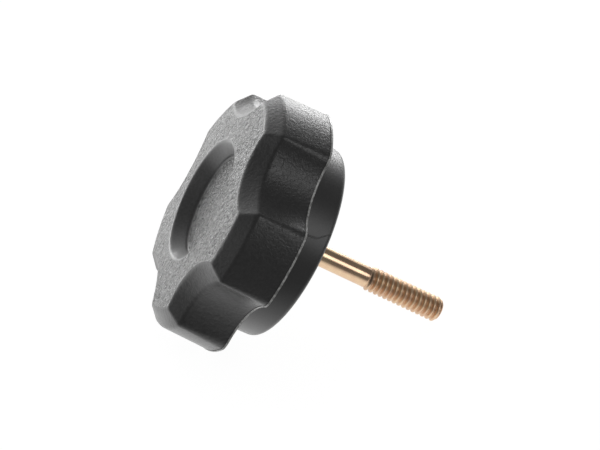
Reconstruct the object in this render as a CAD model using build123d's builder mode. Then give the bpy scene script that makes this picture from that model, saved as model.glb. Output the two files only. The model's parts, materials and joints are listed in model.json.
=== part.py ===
from build123d import *
from math import atan2, degrees, radians, sqrt, tan
import os

# A lobed hand knob: a moulded plastic head on a plated steel stud.
# Both pieces are drawn upright about the knob's axis. The parting plane of the moulding is at height zero,
# the grip face looks up and the stud points down. At the end they are laid down together,
# the way the knob comes to rest on a bench: on two lobe corners and the end of the thread.
# Lengths are in millimetres and angles in degrees.

# Lobed outline at the parting plane
lobe_count = 5
head_radius = 25.0
scallop_radius = 11.85
scallop_depth = 4.2
parting_corner_radius = 2.6

# Sides, chamfer and crowned face
face_height = 12.65
side_draft = 2.1
chamfer_width = 2.65
shoulder_corner_radius = 1.0
face_corner_radius = 0.45
crown_height = 1.15
face_edge_chamfer = 0.25

# Round recess in the face, inside a ring of face that is narrowest at the scallops
face_ring_width = 5.75
recess_depth = 3.3
recess_draft = 4.0
recess_foot_chamfer = 0.65
recess_rim_chamfer = 0.3

# Flash line where the two halves of the mould met
flash_width = 0.1
flash_thickness = 0.45

# Boss behind the lobes
boss_radius = 19.35
boss_length = 6.45
boss_draft = 1.0
boss_edge_chamfer = 0.7

# Stud: a coarse thread rolled on a plain shank
thread_radius = 2.413
thread_length = 16.4
thread_runout = 0.35
tip_chamfer = 0.6
shank_radius = 2.07
stud_reach = 32.5

# Hex head of the stud, sunk in the plastic
hex_sides = 6
hex_across_flats = 7.94
hex_height = 3.0
hex_depth = 8.5

# Overrun of cuts past the faces that they open
overrun = 1.0

# A quarter turn takes the knob's axis from upright to level
quarter_turn = 90.0
# One scallop is on the side that the knob comes to lie on
bench_side = 180.0

# Heights and insets of the head's sections
shoulder_height = face_height - chamfer_width
shoulder_inset = shoulder_height * tan(radians(side_draft))
face_edge_radius = head_radius - shoulder_inset - chamfer_width
crown_radius = (face_edge_radius**2 + crown_height**2) / (2 * crown_height)
crown_top = face_height + crown_height
crown_top_inset = shoulder_inset + chamfer_width + crown_height
crown_centre = crown_top - crown_radius

# Recess, cut from its floor up through the crown
recess_radius = face_edge_radius - scallop_depth - face_ring_width
recess_rim = crown_centre + sqrt(crown_radius**2 - recess_radius**2)
recess_floor = recess_rim - recess_depth
recess_wall_foot = recess_floor + recess_foot_chamfer
recess_wall_radius = recess_radius - (recess_rim - recess_wall_foot) * tan(radians(recess_draft))
recess_floor_radius = recess_wall_radius - recess_foot_chamfer
recess_cut_top = crown_top + overrun
recess_cut_radius = recess_radius + (recess_cut_top - recess_rim) * tan(radians(recess_draft))

# Boss, down to the chamfer round its back
boss_back = -boss_length
boss_side_end = boss_back + boss_edge_chamfer
boss_end_radius = boss_radius + boss_side_end * tan(radians(boss_draft))
boss_back_radius = boss_end_radius - boss_edge_chamfer

# Heights along the stud
hex_seat = boss_back + hex_depth
stud_tip = boss_back - stud_reach
thread_start = stud_tip + thread_length


def lobed_outline(inset, corner_radius):
    """Draws the head's outline in the current sketch, set in all round from the parting outline."""
    Circle(head_radius - inset)
    with PolarLocations(head_radius - scallop_depth + scallop_radius, lobe_count, start_angle=bench_side):
        Circle(scallop_radius + inset, mode=Mode.SUBTRACT)
    fillet(vertices(), corner_radius)


# Moulded head
with BuildPart() as moulded_head:
    # Drafted sides up to the shoulder, then the chamfer, run on past the crown that cuts it off
    with BuildSketch(Plane.XY):
        lobed_outline(0, parting_corner_radius)
    with BuildSketch(Plane.XY.offset(shoulder_height)):
        lobed_outline(shoulder_inset, shoulder_corner_radius)
    with BuildSketch(Plane.XY.offset(crown_top)):
        lobed_outline(crown_top_inset, face_corner_radius)
    loft(ruled=True)
    with Locations((0, 0, crown_centre)):
        Sphere(crown_radius, rotation=(0, quarter_turn, 0), mode=Mode.INTERSECT)
    chamfer(faces().filter_by(GeomType.SPHERE).edges(), face_edge_chamfer)

    # Round recess, turned about the axis, with a chamfer where its wall meets the floor
    with BuildSketch(Plane.XZ):
        with BuildLine():
            Polyline(
                (0, recess_floor),
                (0, recess_cut_top),
                (recess_cut_radius, recess_cut_top),
                (recess_wall_radius, recess_wall_foot),
                (recess_floor_radius, recess_floor),
                close=True,
            )
        make_face()
    revolve(axis=Axis.Z, mode=Mode.SUBTRACT)
    recess_sides = faces().filter_by(GeomType.CONE)
    chamfer(recess_sides.edges().sort_by(Axis.Z)[-1], recess_rim_chamfer)

    # Flash line along the parting edge
    with BuildSketch(Plane.XY) as flash_outline:
        lobed_outline(-flash_width, parting_corner_radius)
    extrude(amount=flash_thickness)

    # Boss, turned about the axis, with a chamfer round its back
    with BuildSketch(Plane.XZ):
        with BuildLine():
            Polyline(
                (0, boss_back),
                (0, 0),
                (boss_radius, 0),
                (boss_end_radius, boss_side_end),
                (boss_back_radius, boss_back),
                close=True,
            )
        make_face()
    revolve(axis=Axis.Z)

    # Seat of the moulded-in stud
    with BuildSketch(Plane.XY.offset(boss_back)):
        Circle(shank_radius)
    extrude(amount=hex_depth, mode=Mode.SUBTRACT)
    with BuildSketch(Plane.XY.offset(hex_seat)):
        RegularPolygon(hex_across_flats / 2, hex_sides, major_radius=False)
    extrude(amount=hex_height, mode=Mode.SUBTRACT)

# Stud, turned about the axis, with the hex head on its inner end
with BuildPart() as threaded_stud:
    with BuildSketch(Plane.XZ):
        with BuildLine():
            Polyline(
                (0, stud_tip),
                (thread_radius - tip_chamfer, stud_tip),
                (thread_radius, stud_tip + tip_chamfer),
                (thread_radius, thread_start - thread_runout),
                (shank_radius, thread_start),
                (shank_radius, hex_seat),
                (0, hex_seat),
                close=True,
            )
        make_face()
    revolve(axis=Axis.Z)
    with BuildSketch(Plane.XY.offset(hex_seat)):
        RegularPolygon(hex_across_flats / 2, hex_sides, major_radius=False)
    extrude(amount=hex_height)

# Rest on the bench: the two lowest corners of the flash line and the end of the thread touch it together
corner_reach = -flash_outline.sketch.bounding_box().min.X
thread_end_reach = -(stud_tip + tip_chamfer)
lean = degrees(atan2(corner_reach - thread_radius, thread_end_reach))
lean_over = Rotation(0, lean - quarter_turn, 0)
laid_box = Compound(children=[lean_over * moulded_head.part, lean_over * threaded_stud.part]).bounding_box()
at_rest = Location((-laid_box.center().X, -laid_box.center().Y, -laid_box.min.Z)) * lean_over
moulded_head.part.move(at_rest)
threaded_stud.part.move(at_rest)

moulded_head.part.label = "moulded_head"
threaded_stud.part.label = "threaded_stud"

os.makedirs("parts", exist_ok=True)
export_step(moulded_head.part, "parts/moulded_head.step")
export_step(threaded_stud.part, "parts/threaded_stud.step")
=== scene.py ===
"""Dresses a lobed hand knob: a black moulded head with a grained face, on a yellow zinc plated threaded stud.

The knob lies on a pale studio floor, on two lobe corners and the end of its thread. Its pieces are drawn
upright about the knob's axis, with the parting plane of the moulding at height zero, the grip face up and the
stud down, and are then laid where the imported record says. Lengths are in millimetres and angles in degrees,
unless a name or a comment says otherwise.
"""

import json
import logging
from collections.abc import Mapping, Sequence
from dataclasses import dataclass, field
from enum import Enum, IntEnum
from math import acos, cos, pi, radians, sin, tan
from typing import Any

import bpy
import numpy as np
from mathutils import Matrix, Vector, noise


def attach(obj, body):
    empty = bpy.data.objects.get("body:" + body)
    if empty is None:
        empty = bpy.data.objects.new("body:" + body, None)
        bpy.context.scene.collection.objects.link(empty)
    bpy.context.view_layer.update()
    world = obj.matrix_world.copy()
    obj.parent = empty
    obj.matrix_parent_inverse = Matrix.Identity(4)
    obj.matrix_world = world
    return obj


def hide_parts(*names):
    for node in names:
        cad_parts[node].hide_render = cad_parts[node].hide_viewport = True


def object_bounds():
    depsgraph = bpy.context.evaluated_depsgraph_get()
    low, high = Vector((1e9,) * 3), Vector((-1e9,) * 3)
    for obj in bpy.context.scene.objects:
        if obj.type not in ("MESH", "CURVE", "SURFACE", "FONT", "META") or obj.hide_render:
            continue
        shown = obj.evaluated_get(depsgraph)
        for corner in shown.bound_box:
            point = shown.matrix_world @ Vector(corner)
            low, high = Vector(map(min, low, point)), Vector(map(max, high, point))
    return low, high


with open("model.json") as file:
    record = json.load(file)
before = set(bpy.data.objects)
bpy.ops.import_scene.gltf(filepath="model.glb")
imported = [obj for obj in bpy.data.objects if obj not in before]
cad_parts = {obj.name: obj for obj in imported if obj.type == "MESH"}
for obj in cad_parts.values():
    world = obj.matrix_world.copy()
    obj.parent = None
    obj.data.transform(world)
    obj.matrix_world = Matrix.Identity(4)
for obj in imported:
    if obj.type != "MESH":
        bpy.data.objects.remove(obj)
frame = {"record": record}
CAD_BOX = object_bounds()

MM = 0.001
BODY = "root"

log = logging.getLogger("hand_knob")


def linear(colour: str) -> tuple[float, float, float, float]:
    """Turns an sRGB hex colour into linear light.

    Args:
        colour: colour such as "#2b2b2b".

    Returns:
        Linear red, green, blue and a full alpha.
    """
    parts = [int(colour[start:start + 2], 16) / 255 for start in (1, 3, 5)]
    red, green, blue = (part / 12.92 if part <= 0.04045 else ((part + 0.055) / 1.055) ** 2.4 for part in parts)
    return red, green, blue, 1.0


def per_metre(size: float) -> float:
    """Gives the texture scale, in repeats a metre, of a pattern whose repeat is a size in millimetres."""
    return 1 / (size * MM)


def add_node(
    tree: bpy.types.NodeTree,
    kind: str,
    inputs: Mapping[str | int, Any] | None = None,
    **settings: Any,
) -> bpy.types.Node:
    """Adds a node with its settings and its links.

    Args:
        tree: node tree that the node goes into.
        kind: Blender's name for the type of node.
        inputs: by input socket, an output socket to link to it or a value to set on it.
        settings: properties to set on the node itself.

    Returns:
        The new node.
    """
    node = tree.nodes.new(kind)
    for name, value in settings.items():
        setattr(node, name, value)
    for socket, value in (inputs or {}).items():
        if isinstance(value, bpy.types.NodeSocket):
            tree.links.new(value, node.inputs[socket])
        else:
            node.inputs[socket].default_value = value
    return node


def empty_material(name: str) -> bpy.types.Material:
    """Makes a material with no nodes in it yet."""
    material = bpy.data.materials.new(name)
    material.use_nodes = True
    material.node_tree.nodes.clear()
    return material


class Surface(IntEnum):
    """Surfaces of the moulded head, in the order of its material slots."""

    FACE = 0
    RECESS = 1
    SIDE = 2
    BOSS = 3
    FLASH = 4


class Slot(Enum):
    """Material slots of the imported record."""

    HEAD = "head_plastic"
    STUD = "stud_plating"


@dataclass(frozen=True)
class MouldedPlastic:
    """Black glass-filled nylon as it comes from the mould.

    The skin takes the texture of the steel. A spark-eroded face comes out as a coarse wormy grain, the sides
    come out as a finer grain, and polished steel leaves a plain satin skin. Colours paler than black nylon are
    painted light, such as the pale ridges of the face, a painted sheen of raking light. The grain, its depth,
    the blotches and the knit line are sizes in millimetres.
    """

    name: str
    ridge: str
    valley: str
    roughness: float
    roughness_spread: float
    grain: float
    grain_depth: float
    sheen: float
    sheen_roughness: float = 0.4
    gloss: float = 0.8
    gloss_roughness: float = 0.32
    blotch: float = 9.0
    ior: float = 1.5
    knit_width: float = 0.0
    knit_colour: str = "#0c0c0c"
    knit_attribute: str = "knit_distance"

    def material(self) -> bpy.types.Material:
        """Makes the material.

        Returns:
            The material, with its grain in both bump and colour.
        """
        material = empty_material(self.name)
        tree = material.node_tree
        place = add_node(tree, "ShaderNodeTexCoord").outputs["Object"]
        grain = add_node(
            tree,
            "ShaderNodeTexNoise",
            {
                "Vector": place,
                "Scale": per_metre(self.grain),
                "Detail": 3.0,
                "Roughness": 0.55,
                "Distortion": 0.6,
            },
        ).outputs["Fac"]
        blotch = add_node(
            tree,
            "ShaderNodeTexNoise",
            {"Vector": place, "Scale": per_metre(self.blotch), "Detail": 4.0, "Roughness": 0.6},
        ).outputs["Fac"]
        ridges = add_node(
            tree,
            "ShaderNodeMapRange",
            {"Value": grain, "From Min": 0.32, "From Max": 0.68},
            interpolation_type="SMOOTHSTEP",
        ).outputs["Result"]
        colour = add_node(
            tree, "ShaderNodeMix", {0: ridges, 6: linear(self.valley), 7: linear(self.ridge)}, data_type="RGBA"
        ).outputs[2]
        roughness = add_node(
            tree,
            "ShaderNodeMapRange",
            {
                "Value": blotch,
                "From Min": 0.3,
                "From Max": 0.7,
                "To Min": self.roughness - self.roughness_spread,
                "To Max": self.roughness + self.roughness_spread,
            },
        ).outputs["Result"]
        bump = add_node(
            tree, "ShaderNodeBump", {"Strength": 1.0, "Distance": self.grain_depth * MM, "Height": grain}
        ).outputs["Normal"]
        if self.knit_width:
            colour, bump = self.add_knit_line(tree, colour, bump)
        shader = add_node(
            tree,
            "ShaderNodeBsdfPrincipled",
            {
                "Base Color": colour,
                "Roughness": roughness,
                "IOR": self.ior,
                "Normal": bump,
                "Coat Normal": bump,
                "Sheen Weight": self.sheen,
                "Sheen Roughness": self.sheen_roughness,
                "Coat Weight": self.gloss,
                "Coat Roughness": self.gloss_roughness,
            },
        )
        add_node(tree, "ShaderNodeOutputMaterial", {"Surface": shader.outputs["BSDF"]})
        return material

    def add_knit_line(
        self, tree: bpy.types.NodeTree, colour: bpy.types.NodeSocket, normal: bpy.types.NodeSocket
    ) -> tuple[bpy.types.NodeSocket, bpy.types.NodeSocket]:
        """Draws the fine dark groove where two fronts of the melt met.

        Args:
            tree: node tree to add to.
            colour: colour of the skin.
            normal: normal of the skin.

        Returns:
            The colour and the normal with the groove.
        """
        offset = add_node(tree, "ShaderNodeAttribute", attribute_name=self.knit_attribute).outputs["Fac"]
        distance = add_node(tree, "ShaderNodeMath", {0: offset}, operation="ABSOLUTE").outputs[0]
        line = add_node(
            tree,
            "ShaderNodeMapRange",
            {
                "Value": distance,
                "From Min": self.knit_width / 4,
                "From Max": self.knit_width / 2,
                "To Min": 1.0,
                "To Max": 0.0,
            },
        ).outputs["Result"]
        dark = add_node(
            tree, "ShaderNodeMix", {0: line, 6: colour, 7: linear(self.knit_colour)}, data_type="RGBA"
        ).outputs[2]
        groove = add_node(
            tree,
            "ShaderNodeBump",
            {"Strength": 1.0, "Distance": self.knit_width / 2 * MM, "Height": line, "Normal": normal},
            invert=True,
        ).outputs["Normal"]
        return dark, groove


@dataclass(frozen=True)
class YellowZinc:
    """Rolled steel, zinc plated and passivated yellow.

    The thin film is straw coloured with rosy patches. It shines on the shank, and it is duller in the roots of
    the thread, where its colour is darkened a little as painted shade.
    """

    name: str = "yellow zinc plated steel"
    straw: str = "#e4c8a6"
    rose: str = "#d6b298"
    # Colour of the thread's roots, a little darker than the plating: painted shade
    root: str = "#d6b496"
    roughness: float = 0.2
    thread_roughness: float = 0.42
    patch: float = 3.5
    speck: float = 0.25
    speck_depth: float = 0.004
    thread_attribute: str = "thread_depth"
    crest_level: float = 0.3

    def material(self) -> bpy.types.Material:
        """Makes the material.

        Returns:
            The plating, patchy in colour and dark in the thread's roots.
        """
        material = empty_material(self.name)
        tree = material.node_tree
        place = add_node(tree, "ShaderNodeTexCoord").outputs["Object"]
        patches = add_node(
            tree, "ShaderNodeTexNoise", {"Vector": place, "Scale": per_metre(self.patch), "Detail": 5.0}
        ).outputs["Fac"]
        rosy = add_node(
            tree, "ShaderNodeMapRange", {"Value": patches, "From Min": 0.4, "From Max": 0.65}
        ).outputs["Result"]
        plating = add_node(
            tree, "ShaderNodeMix", {0: rosy, 6: linear(self.straw), 7: linear(self.rose)}, data_type="RGBA"
        ).outputs[2]
        depth = add_node(tree, "ShaderNodeAttribute", attribute_name=self.thread_attribute).outputs["Fac"]
        # How far into the thread's roots the painted shade reaches
        painted_root_shade = add_node(
            tree, "ShaderNodeMapRange", {"Value": depth, "From Min": self.crest_level}
        ).outputs["Result"]
        colour = add_node(
            tree, "ShaderNodeMix", {0: painted_root_shade, 6: plating, 7: linear(self.root)}, data_type="RGBA"
        ).outputs[2]
        roughness = add_node(
            tree,
            "ShaderNodeMapRange",
            {
                "Value": depth,
                "From Max": self.crest_level,
                "To Min": self.roughness,
                "To Max": self.thread_roughness,
            },
        ).outputs["Result"]
        specks = add_node(
            tree, "ShaderNodeTexNoise", {"Vector": place, "Scale": per_metre(self.speck), "Detail": 2.0}
        ).outputs["Fac"]
        bump = add_node(
            tree, "ShaderNodeBump", {"Strength": 1.0, "Distance": self.speck_depth * MM, "Height": specks}
        ).outputs["Normal"]
        shader = add_node(
            tree,
            "ShaderNodeBsdfPrincipled",
            {"Base Color": colour, "Metallic": 1.0, "Roughness": roughness, "Normal": bump},
        )
        add_node(tree, "ShaderNodeOutputMaterial", {"Surface": shader.outputs["BSDF"]})
        return material


@dataclass
class Skin:
    """A closed surface drawn over a stack of rings, each with as many points as the first one.

    Each ring is an array of points, round the axis from above, and the stack runs from the top of the piece
    over its outside to the foot.
    """

    rings: list[np.ndarray] = field(default_factory=list)
    surfaces: list[int] = field(default_factory=list)

    def add(self, ring: np.ndarray, surface: int = 0) -> None:
        """Adds a ring.

        Args:
            ring: points of the ring.
            surface: material slot of the band that leads to the ring.
        """
        self.rings.append(ring)
        self.surfaces.append(surface)

    def run(self, start: np.ndarray, end: np.ndarray, steps: int, surface: int = 0) -> None:
        """Adds straight bands from one ring to another, without the first ring itself.

        Args:
            start: ring that the bands lead away from.
            end: last ring of the run.
            steps: number of bands.
            surface: material slot of the bands.
        """
        for step in range(1, steps + 1):
            self.add(start + (end - start) * (step / steps), surface)

    def bend(
        self, start: np.ndarray, corner: np.ndarray, end: np.ndarray, steps: int, surface: int = 0
    ) -> None:
        """Adds bands that round off a corner with a quarter of an ellipse, without the first ring itself.

        Args:
            start: ring where the rounding starts.
            corner: sharp corner that the rounding stays inside of.
            end: ring where the rounding ends.
            steps: number of bands.
            surface: material slot of the bands.
        """
        centre = start + end - corner
        for step in range(1, steps + 1):
            turn = pi / 2 * step / steps
            self.add(centre + (start - centre) * cos(turn) + (end - centre) * sin(turn), surface)

    def mesh(self, name: str, materials: Sequence[bpy.types.Material], crease: float) -> bpy.types.Mesh:
        """Closes both ends and makes the mesh, in metres.

        Args:
            name: name of the mesh.
            materials: materials in the order of the slots.
            crease: angle past which an edge stays sharp.

        Returns:
            The mesh, shaded smooth between its creases.
        """
        count = len(self.rings[0])
        last = len(self.rings) - 1
        points = np.vstack([*self.rings, self.rings[0].mean(0), self.rings[last].mean(0)])
        top, foot = len(points) - 2, len(points) - 1
        here = np.arange(count)
        following = np.roll(here, -1)
        faces = [(top, one, two) for one, two in zip(here.tolist(), following.tolist())]
        slots = [self.surfaces[0]] * count
        for index in range(last):
            above, below = index * count, (index + 1) * count
            band = np.column_stack([above + here, below + here, below + following, above + following])
            faces.extend(band.tolist())
            slots.extend([self.surfaces[index + 1]] * count)
        end = last * count
        faces.extend((end + one, foot, end + two) for one, two in zip(here.tolist(), following.tolist()))
        slots.extend([self.surfaces[last]] * count)
        mesh = bpy.data.meshes.new(name)
        mesh.from_pydata((points * MM).tolist(), [], faces)
        for material in materials:
            mesh.materials.append(material)
        mesh.polygons.foreach_set("material_index", slots)
        mesh.polygons.foreach_set("use_smooth", [True] * len(faces))
        mesh.set_sharp_from_angle(angle=radians(crease))
        mesh.validate()
        return mesh


def circle(radius: np.ndarray | float, height: np.ndarray | float, turns: np.ndarray) -> np.ndarray:
    """Draws a ring about the axis.

    Args:
        radius: radius of the ring, or one for each of its points.
        height: height of the ring, or one for each of its points.
        turns: angles of the points, in radians.

    Returns:
        The ring's points.
    """
    return np.column_stack([radius * np.cos(turns), radius * np.sin(turns), np.full(len(turns), height)])


def hexagon(across_flats: float, height: float, turns: np.ndarray) -> np.ndarray:
    """Draws a hexagonal ring about the axis, with a corner at angle zero.

    Args:
        across_flats: width between two opposite sides.
        height: height of the ring.
        turns: angles of the points, in radians.

    Returns:
        The ring's points.
    """
    from_flat = np.mod(turns, pi / 3) - pi / 6
    return circle(across_flats / 2 / np.cos(from_flat), height, turns)


def narrowed(ring: np.ndarray, share: float) -> np.ndarray:
    """Draws a ring in toward the axis, to a share of its width."""
    return ring * np.array([share, share, 1.0])


@dataclass(frozen=True)
class LobedOutline:
    """Outline of the head seen along its axis: lobe tips on one circle, parted by round scallops."""

    lobe_count: int = 5
    head_radius: float = 25.0
    scallop_radius: float = 11.85
    scallop_depth: float = 4.2
    lobe_steps: int = 36
    corner_steps: int = 8
    scallop_steps: int = 44

    def ring(self, inset: float, corner: float, height: float) -> np.ndarray:
        """Draws the outline, set in all round.

        Args:
            inset: distance inside the outline at the parting plane.
            corner: radius of the lobes' corners.
            height: height of the ring.

        Returns:
            The ring's points.
        """
        half_pitch = pi / self.lobe_count
        lobe = self.head_radius - inset
        scallop = self.scallop_radius + inset
        reach = self.head_radius - self.scallop_depth + self.scallop_radius
        hub = lobe - corner
        lobe_half = half_pitch - acos((hub**2 + reach**2 - (scallop + corner) ** 2) / (2 * hub * reach))
        scallop_centre = reach * np.exp(1j * half_pitch)
        corner_centre = hub * np.exp(1j * lobe_half)
        corner_end = float(np.angle(scallop_centre - corner_centre))
        scallop_mid = half_pitch + pi

        def arc(centre: complex, radius: float, start: float, end: float, steps: int) -> np.ndarray:
            """Gives points of an arc without its end."""
            return centre + radius * np.exp(1j * (start + (end - start) * np.arange(steps) / steps))

        one_lobe = np.concatenate([
            arc(0, lobe, -lobe_half, lobe_half, self.lobe_steps),
            arc(corner_centre, corner, lobe_half, corner_end, self.corner_steps),
            arc(
                scallop_centre,
                scallop,
                corner_end + pi,
                2 * scallop_mid - corner_end - pi,
                self.scallop_steps,
            ),
            arc(
                hub * np.exp(1j * (2 * half_pitch - lobe_half)),
                corner,
                2 * half_pitch - corner_end,
                2 * half_pitch - lobe_half,
                self.corner_steps,
            ),
        ])
        points = np.concatenate([one_lobe * np.exp(2j * half_pitch * turn) for turn in range(self.lobe_count)])
        return np.column_stack([points.real, points.imag, np.full(len(points), height)])


@dataclass(frozen=True)
class Seat:
    """Sizes where the stud is moulded into the boss of the head, which both pieces share."""

    boss_length: float = 6.45
    shank_radius: float = 2.07
    hex_across_flats: float = 7.94
    hex_height: float = 3.0
    hex_depth: float = 8.5

    @property
    def hex_foot(self) -> float:
        """Height of the lower side of the hex head."""
        return self.hex_depth - self.boss_length

    @property
    def hex_top(self) -> float:
        """Height of the upper side of the hex head."""
        return self.hex_foot + self.hex_height


@dataclass
class MouldedHead:
    """The moulded head: crowned face, round recess, drafted and scalloped sides, flash line and boss."""

    outline: LobedOutline = field(default_factory=LobedOutline)
    seat: Seat = field(default_factory=Seat)
    parting_corner: float = 2.6
    shoulder_corner: float = 1.0
    face_corner: float = 0.45
    face_height: float = 12.65
    side_draft: float = 2.1
    chamfer_width: float = 2.65
    crown_height: float = 1.15
    face_edge_round: float = 0.5
    shoulder_round: float = 0.45
    face_ring_width: float = 5.75
    recess_depth: float = 2.95
    recess_draft: float = 33.0
    recess_foot_width: float = 0.35
    recess_foot_height: float = 0.35
    recess_rim_round: float = 0.4
    flash_width: float = 0.1
    flash_thickness: float = 0.36
    boss_radius: float = 19.35
    boss_draft: float = 1.0
    boss_edge_width: float = 0.6
    boss_edge_height: float = 0.9
    knit_line: tuple[tuple[float, float], ...] = (
        (-6.5, -46.5), (-5.6, -47.5), (-3.9, -51.9), (-1.9, -52.5), (0.0, -53.0)
    )
    grain: float = 1.05
    grain_depth: float = 0.075
    grain_margin: float = 0.5
    grain_falloff: float = 0.9
    grain_octave_step: float = 2.1
    grain_octaves: int = 3
    valley_level: float = 0.5
    valley_slope: float = 0.9
    edge_halvings: int = 40
    edge_probe: float = 1.0
    ring_gap: float = 0.3
    crease: float = 40.0

    def __post_init__(self) -> None:
        """Works out the heights and insets that the driving sizes give."""
        self.shoulder_height = self.face_height - self.chamfer_width
        self.shoulder_inset = self.shoulder_height * tan(radians(self.side_draft))
        face_edge = self.outline.head_radius - self.shoulder_inset - self.chamfer_width
        self.crown_radius = (face_edge**2 + self.crown_height**2) / (2 * self.crown_height)
        self.crown_top = self.face_height + self.crown_height
        self.crown_centre = self.crown_top - self.crown_radius
        self.recess_radius = face_edge - self.outline.scallop_depth - self.face_ring_width
        self.recess_outside = self.recess_radius + self.recess_rim_round
        self.recess_rim = self.crown_at(self.recess_radius)
        self.recess_floor = self.recess_rim - self.recess_depth
        self.recess_wall_foot = self.recess_floor + self.recess_foot_height
        wall_height = self.recess_rim - self.recess_wall_foot
        self.recess_wall_radius = self.recess_radius - wall_height * tan(radians(self.recess_draft))
        self.recess_floor_radius = self.recess_wall_radius - self.recess_foot_width

    def crown_at(self, radius: float | np.ndarray) -> float | np.ndarray:
        """Gives the height of the crowned face at a distance from the axis."""
        return self.crown_centre + np.sqrt(self.crown_radius**2 - radius**2)

    def relief(self, ring: np.ndarray, strength: float | np.ndarray = 1.0) -> np.ndarray:
        """Sinks the valleys of the moulded grain into a ring of the face.

        Args:
            ring: points of the ring.
            strength: share of the full depth, for the ring or for each of its points.

        Returns:
            The ring with its grain.
        """
        sunk = ring.copy()
        octaves = self.grain_falloff, self.grain_octave_step, self.grain_octaves
        heights = [noise.fractal(Vector(point) / self.grain, *octaves) for point in ring.tolist()]
        valleys = np.clip(self.valley_level - self.valley_slope * np.array(heights), 0, 1)
        sunk[:, 2] -= self.grain_depth * strength * valleys
        return sunk

    def face_edge(self, shoulder: np.ndarray, crest: np.ndarray) -> np.ndarray:
        """Finds where the chamfer meets the crowned face.

        Args:
            shoulder: ring at the foot of the chamfer.
            crest: ring of the chamfer's plane beyond the crown.

        Returns:
            The ring along the edge of the face.
        """
        low, high = np.zeros(len(shoulder)), np.ones(len(shoulder))
        for _ in range(self.edge_halvings):
            middle = (low + high) / 2
            points = shoulder + (crest - shoulder) * middle[:, None]
            above = points[:, 2] > self.crown_at(np.hypot(points[:, 0], points[:, 1]))
            high = np.where(above, middle, high)
            low = np.where(above, low, middle)
        return shoulder + (crest - shoulder) * low[:, None]

    @staticmethod
    def toward(start: np.ndarray, end: np.ndarray, reach: float) -> np.ndarray:
        """Gives the ring that lies a set distance from one ring toward another, point by point."""
        step = end - start
        return start + step * (reach / np.linalg.norm(step, axis=1))[:, None]

    def skin(self) -> Skin:
        """Draws the rings of the head, from the middle of the recess over the outside into the stud's seat.

        Returns:
            The stack of rings.
        """
        parting = self.outline.ring(0, self.parting_corner, 0)
        shoulder = self.outline.ring(self.shoulder_inset, self.shoulder_corner, self.shoulder_height)
        crest_inset = self.shoulder_inset + self.chamfer_width + self.crown_height
        crest = self.outline.ring(crest_inset, self.face_corner, self.crown_top)
        edge = self.face_edge(shoulder, crest)
        turns = np.arctan2(edge[:, 1], edge[:, 0])
        inside_edge = np.hypot(edge[:, 0], edge[:, 1]) - self.edge_probe
        before = self.toward(
            edge, circle(inside_edge, self.crown_at(inside_edge), turns), self.face_edge_round
        )
        after = self.toward(edge, shoulder, self.face_edge_round)
        skin = Skin()
        self.add_recess(skin, turns)
        self.add_face(skin, before, turns)
        skin.bend(before, edge, after, steps=4, surface=Surface.SIDE)
        above = self.toward(shoulder, edge, self.shoulder_round)
        below = self.toward(shoulder, parting, self.shoulder_round)
        skin.run(after, above, steps=8, surface=Surface.SIDE)
        skin.bend(above, shoulder, below, steps=5, surface=Surface.SIDE)
        share = self.flash_thickness / self.shoulder_height
        foot = parting + (shoulder - parting) * share
        skin.run(below, foot, steps=30, surface=Surface.SIDE)
        self.add_flash(skin, foot)
        self.add_boss(skin)
        return skin

    def add_recess(self, skin: Skin, turns: np.ndarray) -> None:
        """Adds the recess: its grained floor, the round at its foot and its smooth wall.

        Args:
            skin: stack of rings to add to.
            turns: angles of the rings' points, in radians.
        """
        flat = self.recess_floor_radius
        steps = round(flat / self.ring_gap)
        for step in range(1, steps + 1):
            radius = flat * step / steps
            strength = min(1.0, (flat - radius) / self.grain_margin)
            skin.add(self.relief(circle(radius, self.recess_floor, turns), strength), Surface.FACE)
        corner = circle(self.recess_wall_radius, self.recess_floor, turns)
        wall = circle(self.recess_wall_radius, self.recess_wall_foot, turns)
        rim = circle(self.recess_radius, self.recess_rim, turns)
        skin.bend(circle(flat, self.recess_floor, turns), corner, wall, steps=6, surface=Surface.RECESS)
        brink = self.toward(rim, wall, self.recess_rim_round)
        skin.run(wall, brink, steps=8, surface=Surface.RECESS)
        outside = circle(self.recess_outside, self.crown_at(self.recess_outside), turns)
        skin.bend(brink, rim, outside, steps=4, surface=Surface.RECESS)

    def add_face(self, skin: Skin, border: np.ndarray, turns: np.ndarray) -> None:
        """Adds the crowned and grained face around the recess.

        Args:
            skin: stack of rings to add to.
            border: ring where the rounded edge of the face starts.
            turns: angles of the rings' points, in radians.
        """
        inner = self.recess_outside
        outer = np.hypot(border[:, 0], border[:, 1])
        steps = round((outer.max() - inner) / self.ring_gap)
        for step in range(1, steps + 1):
            radius = inner + (outer - inner) * step / steps
            ring = circle(radius, self.crown_at(radius), turns)
            strength = np.clip(np.minimum(radius - inner, outer - radius) / self.grain_margin, 0, 1)
            skin.add(self.relief(ring, strength), Surface.FACE)

    def add_flash(self, skin: Skin, foot: np.ndarray) -> None:
        """Adds the thin line of flash round the parting edge.

        Args:
            skin: stack of rings to add to.
            foot: ring where the side meets the flash.
        """
        lip = self.outline.ring(-self.flash_width, self.parting_corner, self.flash_thickness)
        skin.run(foot, lip, steps=2, surface=Surface.FLASH)
        under = lip.copy()
        under[:, 2] = 0
        skin.run(lip, under, steps=2, surface=Surface.FLASH)

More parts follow.
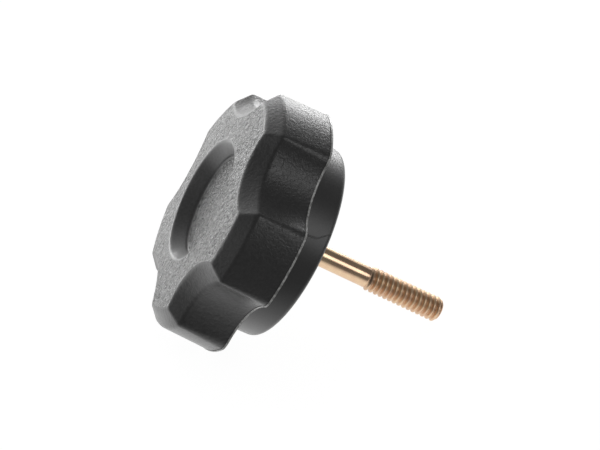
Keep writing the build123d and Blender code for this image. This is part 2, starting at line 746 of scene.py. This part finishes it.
    def add_boss(self, skin: Skin) -> None:
        """Adds the back of the lobes, the boss and the seat of the stud.

        Args:
            skin: stack of rings to add to, which ends at the flash.
        """
        lip = skin.rings[-1]
        turns = np.arctan2(lip[:, 1], lip[:, 0])
        root = circle(self.boss_radius, 0, turns)
        skin.run(lip, root, steps=8, surface=Surface.BOSS)
        back = -self.seat.boss_length
        side_height = self.seat.boss_length - self.boss_edge_height
        end_radius = self.boss_radius - side_height * tan(radians(self.boss_draft))
        side_end = circle(end_radius, -side_height, turns)
        inside = circle(end_radius - self.boss_edge_width, back, turns)
        skin.run(root, side_end, steps=20, surface=Surface.BOSS)
        skin.bend(side_end, circle(end_radius, back, turns), inside, steps=10, surface=Surface.BOSS)
        bore = circle(self.seat.shank_radius, back, turns)
        bore_end = circle(self.seat.shank_radius, self.seat.hex_foot, turns)
        pocket_foot = hexagon(self.seat.hex_across_flats, self.seat.hex_foot, turns)
        pocket_top = hexagon(self.seat.hex_across_flats, self.seat.hex_top, turns)
        skin.run(inside, bore, steps=20, surface=Surface.BOSS)
        skin.run(bore, bore_end, steps=6, surface=Surface.BOSS)
        skin.run(bore_end, pocket_foot, steps=3, surface=Surface.BOSS)
        skin.run(pocket_foot, pocket_top, steps=2, surface=Surface.BOSS)

    def knit_distance(self, points: np.ndarray) -> np.ndarray:
        """Gives how far points of the boss lie round from its knit line.

        Args:
            points: points of the head.

        Returns:
            The distance of each point, to one side or the other. The back of the boss counts as far off.
        """
        heights, angles = np.array(self.knit_line).T
        turns = np.arctan2(points[:, 1], points[:, 0])
        line = np.radians(np.interp(points[:, 2], heights, angles))
        reach = np.hypot(points[:, 0], points[:, 1])
        on_back = reach < self.boss_radius - self.boss_edge_height
        return np.where(on_back, self.boss_radius, (turns - line) * reach)

    def finishes(self) -> list[bpy.types.Material]:
        """Makes the head's materials, in the order of its surfaces."""
        # Coarse grain, drawn paler than black nylon so that it has the silvery grey of raking light
        grained_face = MouldedPlastic(
            "black nylon, coarse moulded grain, painted sheen", ridge="#aaaaaa", valley="#303030", roughness=0.36,
            roughness_spread=0.05, grain=0.75, grain_depth=0.75, sheen=0.3, gloss=1.0,
        )
        # Smooth and even, with a soft bloom where it is seen at a flat angle, and a grey that is painted light:
        # paler than the black nylon of the sides, for light bouncing into the recess
        recess_wall = MouldedPlastic(
            "black nylon, smooth recess wall, painted bounce light", ridge="#545454", valley="#444444", roughness=0.38,
            roughness_spread=0.04, grain=0.4, grain_depth=0.01, sheen=1.0, gloss=1.0,
        )
        # Near black, with a fine leathery grain that shows where the gloss breaks on it
        grained_side = MouldedPlastic(
            "black nylon, fine moulded grain", ridge="#303030", valley="#242424", roughness=0.42,
            roughness_spread=0.05, grain=0.6, grain_depth=0.1, sheen=0.1, gloss_roughness=0.36,
        )
        # Near black with a broad soft gloss, and one fine dark knit line
        satin = MouldedPlastic(
            "black nylon, satin from the mould", ridge="#2c2c2c", valley="#252525", roughness=0.4,
            roughness_spread=0.04, grain=0.35, grain_depth=0.008, sheen=0.1, gloss=1.0, gloss_roughness=0.42,
            knit_width=0.3,
        )
        # A thin pale line, uneven in tone; its paleness is a painted highlight, the light that the thin parting
        # edge catches
        flash = MouldedPlastic(
            "black nylon, flash, painted highlight", ridge="#d0d0ce", valley="#7e7e7c", roughness=0.36,
            roughness_spread=0.08, grain=0.6, grain_depth=0.02, sheen=0.2, blotch=4.0,
        )
        return [finish.material() for finish in (grained_face, recess_wall, grained_side, satin, flash)]

    def build(self, place: Matrix) -> bpy.types.Object:
        """Builds the head and dresses it.

        Args:
            place: where the upright knob lies.

        Returns:
            The finished piece.
        """
        skin = self.skin()
        mesh = skin.mesh("lobed_head", self.finishes(), self.crease)
        # The last two points of the mesh close its ends, away from the knit line
        points = np.vstack([*skin.rings, np.zeros((2, 3))])
        attribute = mesh.attributes.new(MouldedPlastic.knit_attribute, "FLOAT", "POINT")
        attribute.data.foreach_set("value", self.knit_distance(points))
        return put(mesh, place, "moulded_head")


@dataclass
class ThreadedStud:
    """The plated stud: a plain shank with a rolled thread at its end and a hex head sunk in the plastic."""

    seat: Seat = field(default_factory=Seat)
    plating: YellowZinc = field(default_factory=YellowZinc)
    reach: float = 32.5
    thread_radius: float = 2.413
    thread_length: float = 16.4
    pitch: float = 1.058
    crest_share: float = 0.11
    flank_share: float = 0.335
    thread_depth: float = 0.5
    runout: float = 0.8
    tip_chamfer: float = 0.6
    hex_middle_share: float = 0.5
    end_shares: tuple[float, ...] = (0.9, 0.6, 0.3)
    points_round: int = 96
    ring_gap: float = 0.055
    crease: float = 35.0

    @property
    def tip(self) -> float:
        """Height of the end of the stud."""
        return -self.seat.boss_length - self.reach

    @property
    def thread_start(self) -> float:
        """Height where the thread starts to rise from the shank."""
        return self.tip + self.thread_length

    def thread(self, height: float, turns: np.ndarray) -> tuple[np.ndarray, np.ndarray]:
        """Gives the rolled thread at one height.

        Args:
            height: height of the ring.
            turns: angles of the ring's points, in radians.

        Returns:
            The radius at each point, and the plating's level there: a crest, a root or between the two.
        """
        phase = np.mod((height - self.tip) / self.pitch - turns / (2 * pi), 1)
        from_crest = np.minimum(phase, 1 - phase)
        share = np.clip((from_crest - self.crest_share) / self.flank_share, 0, 1)
        depth = 0.5 * share + 0.5 * share * share * (3 - 2 * share)
        cut = self.thread_radius - self.thread_depth * depth
        fade = np.clip((self.thread_start - height) / self.runout, 0, 1)
        radius = self.seat.shank_radius + (cut - self.seat.shank_radius) * fade
        limit = self.thread_radius - self.tip_chamfer + (height - self.tip)
        level = self.plating.crest_level + (1 - self.plating.crest_level) * depth
        return np.minimum(radius, limit), level * fade

    def skin(self) -> tuple[Skin, list[np.ndarray]]:
        """Draws the rings of the stud, from the top of the hex head to the tip.

        Returns:
            The stack of rings, and the plating's level at each ring's points.
        """
        turns = np.linspace(0, 2 * pi, self.points_round, endpoint=False)
        plain = np.zeros(len(turns))
        hex_top = hexagon(self.seat.hex_across_flats, self.seat.hex_top, turns)
        hex_foot = hexagon(self.seat.hex_across_flats, self.seat.hex_foot, turns)
        shank_top = circle(self.seat.shank_radius, self.seat.hex_foot, turns)
        shank_foot = circle(self.seat.shank_radius, self.thread_start, turns)
        hex_middle = narrowed(hex_top, self.hex_middle_share)
        skin = Skin()
        skin.add(hex_middle)
        skin.run(hex_middle, hex_top, steps=2)
        skin.run(hex_top, hex_foot, steps=2)
        skin.run(hex_foot, shank_top, steps=2)
        skin.run(shank_top, shank_foot, steps=40)
        levels = [plain] * len(skin.rings)
        steps = round(self.thread_length / self.ring_gap)
        for step in range(1, steps + 1):
            height = self.thread_start - self.thread_length * step / steps
            radius, level = self.thread(height, turns)
            skin.add(circle(radius, height, turns))
            levels.append(level)
        for share in self.end_shares:
            skin.add(narrowed(skin.rings[-1], share))
            levels.append(plain)
        return skin, levels

    def build(self, place: Matrix) -> bpy.types.Object:
        """Builds the stud and dresses it.

        Args:
            place: where the upright knob lies.

        Returns:
            The finished piece.
        """
        skin, levels = self.skin()
        mesh = skin.mesh("plated_stud", [self.plating.material()], self.crease)
        # The last two points of the mesh close its ends, where there is no thread
        values = np.concatenate([*levels, [0.0, 0.0]])
        attribute = mesh.attributes.new(self.plating.thread_attribute, "FLOAT", "POINT")
        attribute.data.foreach_set("value", values)
        return put(mesh, place, "threaded_stud")


def put(mesh: bpy.types.Mesh, place: Matrix, node: str) -> bpy.types.Object:
    """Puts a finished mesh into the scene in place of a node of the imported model.

    Args:
        mesh: finished mesh of the piece, drawn upright.
        place: where the upright knob lies.
        node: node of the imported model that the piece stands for.

    Returns:
        The piece.
    """
    mesh.transform(place)
    piece = bpy.data.objects.new(mesh.name, mesh)
    bpy.context.scene.collection.objects.link(piece)
    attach(piece, BODY)
    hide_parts(node)
    return piece


def lying_place(boss_length: float) -> Matrix:
    """Works out where the upright knob lies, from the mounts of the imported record.

    Args:
        boss_length: distance from the back of the boss to the parting plane.

    Returns:
        The placement in the row frame, in metres.
    """
    mounts = {mount["name"]: mount for mount in frame["record"]["mounts"]}
    axis = -Vector(mounts["stud"]["axis"]).normalized()
    on_axis = Vector(mounts["stud"]["pos_m"])
    to_back = (Vector(mounts["seat"]["pos_m"]) - on_axis).dot(axis)
    origin = on_axis + axis * (to_back + boss_length * MM)
    up = (Vector((0, 0, 1)) - axis * axis.z).normalized()
    turn = Matrix((up, axis.cross(up), axis)).transposed().to_4x4()
    return Matrix.Translation(origin) @ turn


def look_from(azimuth: float, elevation: float) -> Vector:
    """Gives the direction from the object to where one stands; azimuth 0 looks along +Y, and 90 along -X."""
    turn, lift = radians(azimuth), radians(elevation)
    return Vector((sin(turn) * cos(lift), -cos(turn) * cos(lift), sin(lift)))


@dataclass(frozen=True)
class Softbox:
    """A softbox that faces the knob. Its brightness is its radiance, where 1 is white."""

    name: str
    azimuth: float
    elevation: float
    distance: float
    width: float
    height: float
    brightness: float

    def build(self, aim: Vector) -> None:
        """Hangs the softbox.

        Args:
            aim: point that it faces, in metres.
        """
        lamp = bpy.data.lights.new(self.name, "AREA")
        lamp.shape = "RECTANGLE"
        lamp.size, lamp.size_y = self.width * MM, self.height * MM
        lamp.energy = self.brightness * pi * lamp.size * lamp.size_y
        stand = bpy.data.objects.new(self.name, lamp)
        bpy.context.scene.collection.objects.link(stand)
        back = look_from(self.azimuth, self.elevation)
        stand.location = aim + back * self.distance * MM
        stand.rotation_mode = "QUATERNION"
        stand.rotation_quaternion = (-back).to_track_quat("-Z", "Y")
        stand.visible_camera = False


@dataclass
class Studio:
    """A pale floor under a white background, a world that is dim on the viewer's side, and softboxes."""

    floor_size: float = 6000.0
    floor_colour: str = "#e6e6e6"
    # Glow of the floor to the eye and in the knob's gloss, and the colour that takes the shadow
    floor_glow: float = 0.95
    floor_shine: float = 1.0
    floor_shade: str = "#787878"
    # Stretch toward the viewer over which the floor goes dark in the gloss
    dusk_azimuth: float = 0.0
    dusk_start: float = 15.0
    dusk_end: float = 50.0
    dusk_glow: float = 0.12
    world_dim: float = 0.2
    world_bright: float = 0.9
    bright_azimuth: float = 205.0
    bright_elevation: float = 5.0
    # Cosines of the angle off the bright side where the world starts to brighten and where it is full
    bright_start: float = 0.2
    bright_full: float = 0.9
    # Name, azimuth, elevation, distance, width, height and brightness of each softbox
    softboxes: tuple[Softbox, ...] = (
        Softbox("side_softbox", 47, 29, 600, 300, 220, 2.0),
        Softbox("left_softbox", -67, 21, 600, 250, 180, 0.7),
        Softbox("rear_right_softbox", 145, 16, 500, 240, 160, 0.7),
        Softbox("rear_left_strip", 216, 4, 500, 420, 90, 5.4),
        Softbox("rear_strip", 170, 5, 500, 280, 100, 6.5),
    )

    def build(self, aim: Vector) -> None:
        """Lays the floor, lights the world and hangs the softboxes.

        Args:
            aim: point that the softboxes face, in metres.
        """
        bpy.context.scene.view_settings.view_transform = "Standard"
        self.lay_floor()
        self.light_world()
        for softbox in self.softboxes:
            softbox.build(aim)

    @staticmethod
    def background_ray(tree: bpy.types.NodeTree) -> bpy.types.NodeSocket:
        """Adds nodes that pick out the rays which see the background, directly or in gloss or glass.

        Args:
            tree: node tree to add to.

        Returns:
            A socket that is 1 for a ray that sees the background.
        """
        ray = add_node(tree, "ShaderNodeLightPath").outputs
        seen = add_node(
            tree, "ShaderNodeMath", {0: ray["Is Camera Ray"], 1: ray["Is Glossy Ray"]}, operation="MAXIMUM"
        ).outputs[0]
        return add_node(
            tree, "ShaderNodeMath", {0: seen, 1: ray["Is Transmission Ray"]}, operation="MAXIMUM"
        ).outputs[0]

    def lay_floor(self) -> None:
        """Lays the pale floor, which looks white and keeps the knob's shadow."""
        half = self.floor_size * MM / 2
        mesh = bpy.data.meshes.new("studio_floor")
        corners = [(-half, -half, 0), (half, -half, 0), (half, half, 0), (-half, half, 0)]
        mesh.from_pydata(corners, [], [(0, 1, 2, 3)])
        material = empty_material("matt white paper sweep")
        tree = material.node_tree
        plain = add_node(tree, "ShaderNodeBsdfDiffuse", {"Color": linear(self.floor_colour)}).outputs[0]
        place = add_node(tree, "ShaderNodeTexCoord").outputs["Object"]
        viewer = look_from(self.dusk_azimuth, 0)
        nearness = add_node(
            tree, "ShaderNodeVectorMath", {0: place, 1: viewer}, operation="DOT_PRODUCT"
        ).outputs["Value"]
        fade = add_node(
            tree,
            "ShaderNodeMapRange",
            {
                "Value": nearness,
                "From Min": self.dusk_start * MM,
                "From Max": self.dusk_end * MM,
                "To Min": self.floor_shine,
                "To Max": self.dusk_glow,
            },
        ).outputs["Result"]
        looked_at = add_node(tree, "ShaderNodeLightPath").outputs["Is Camera Ray"]
        strength = add_node(
            tree, "ShaderNodeMix", {0: looked_at, 2: fade, 3: self.floor_glow}, data_type="FLOAT"
        ).outputs[0]
        glow = add_node(tree, "ShaderNodeEmission", {"Strength": strength}).outputs[0]
        shade = add_node(tree, "ShaderNodeBsdfDiffuse", {"Color": linear(self.floor_shade)}).outputs[0]
        white = add_node(tree, "ShaderNodeAddShader", {0: glow, 1: shade}).outputs[0]
        seen = self.background_ray(tree)
        shown = add_node(tree, "ShaderNodeMixShader", {0: seen, 1: plain, 2: white}).outputs[0]
        add_node(tree, "ShaderNodeOutputMaterial", {"Surface": shown})
        mesh.materials.append(material)
        floor = bpy.data.objects.new("studio_floor", mesh)
        bpy.context.scene.collection.objects.link(floor)

    def light_world(self) -> None:
        """Lights the world: white to the eye, bright behind on the left and dim on the viewer's side."""
        world = bpy.data.worlds.new("studio")
        world.use_nodes = True
        tree = world.node_tree
        tree.nodes.clear()
        way = add_node(tree, "ShaderNodeTexCoord").outputs["Generated"]
        nearness = add_node(
            tree,
            "ShaderNodeVectorMath",
            {0: way, 1: look_from(self.bright_azimuth, self.bright_elevation)},
            operation="DOT_PRODUCT",
        ).outputs["Value"]
        strength = add_node(
            tree,
            "ShaderNodeMapRange",
            {
                "Value": nearness,
                "From Min": self.bright_start,
                "From Max": self.bright_full,
                "To Min": self.world_dim,
                "To Max": self.world_bright,
            },
            interpolation_type="SMOOTHSTEP",
        ).outputs["Result"]
        room = add_node(tree, "ShaderNodeBackground", {"Strength": strength}).outputs[0]
        white = add_node(tree, "ShaderNodeBackground", {"Color": linear("#ffffff"), "Strength": 1.0}).outputs[0]
        seen = add_node(tree, "ShaderNodeLightPath").outputs["Is Camera Ray"]
        shown = add_node(tree, "ShaderNodeMixShader", {0: seen, 1: room, 2: white}).outputs[0]
        add_node(tree, "ShaderNodeOutputWorld", {"Surface": shown})
        bpy.context.scene.world = world


@dataclass(frozen=True)
class PhotoCamera:
    """A camera that stands where the photograph was taken from, a long way off with a long lens."""

    azimuth: float = -3.561
    elevation: float = 34.863
    roll: float = 2.605
    distance: float = 561.85
    lens: float = 180.0
    sensor_width: float = 36.0
    aim: tuple[float, float, float] = (-0.339, -0.908, 22.169)

    def build(self) -> None:
        """Sets up the camera and makes it the scene's own."""
        back = look_from(self.azimuth, self.elevation)
        level = Vector((0, 0, 1)).cross(back).normalized()
        rise = back.cross(level)
        turn = radians(self.roll)
        right = level * cos(turn) + rise * sin(turn)
        up = rise * cos(turn) - level * sin(turn)
        data = bpy.data.cameras.new("photo_camera")
        data.lens = self.lens
        data.sensor_width = self.sensor_width
        data.dof.use_dof = False
        camera = bpy.data.objects.new("photo_camera", data)
        bpy.context.scene.collection.objects.link(camera)
        camera.rotation_mode = "QUATERNION"
        camera.rotation_quaternion = Matrix((right, up, back)).transposed().to_quaternion()
        camera.location = (Vector(self.aim) + back * self.distance) * MM
        bpy.context.scene.camera = camera


def main() -> None:
    """Builds the knob, the studio and the camera in order."""
    logging.basicConfig(level=logging.INFO)
    head = MouldedHead()
    place = lying_place(head.seat.boss_length)
    for piece in (head.build(place), ThreadedStud().build(place)):
        log.info("built %s with %d faces", piece.name, len(piece.data.polygons))
    low, high = CAD_BOX
    Studio().build((low + high) / 2)
    PhotoCamera().build()


if __name__ == "__main__":
    main()
